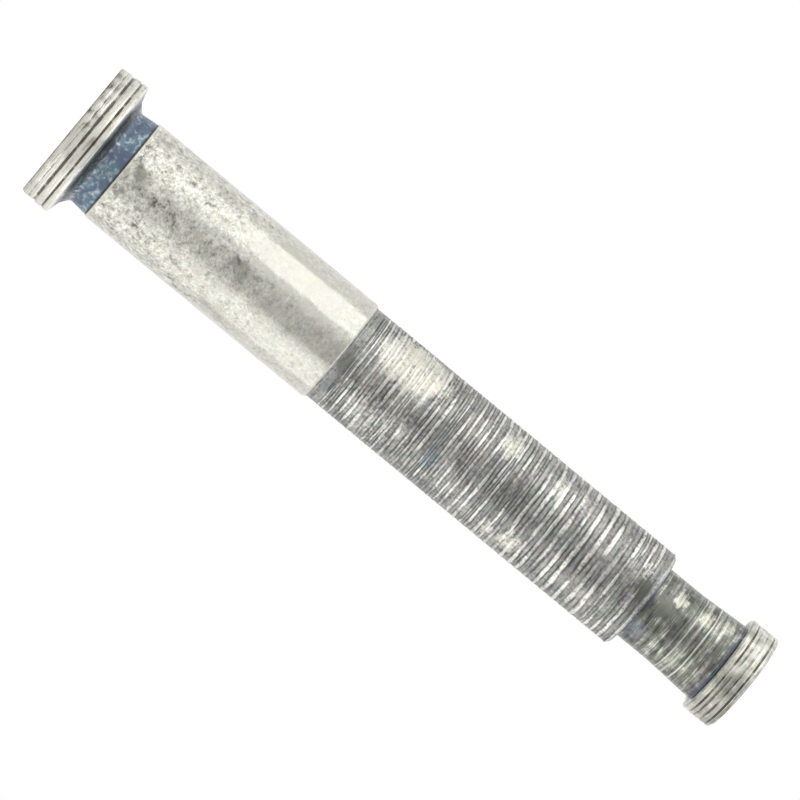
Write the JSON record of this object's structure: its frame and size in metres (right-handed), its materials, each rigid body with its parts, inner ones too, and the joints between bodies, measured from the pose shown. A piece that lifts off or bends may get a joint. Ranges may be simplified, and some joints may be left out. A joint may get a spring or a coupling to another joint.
{
  "type": "threaded stud",
  "caption": "Turned steel stud with a flat round head, plain ground shank, fine-threaded length, reduced neck and grooved end button.",
  "frame": {"origin": "centre of the flat end face of the head, on which the stud stands", "axes": "+Z along the stud, from the head towards the end button"},
  "size_m": [0.0164, 0.0164, 0.0886],
  "materials": {
    "plated_steel": "worn zinc plating, darker on the necks"
  },
  "bodies": {
    "root": {"stud": "plated_steel"}
  },
  "joints": []
}
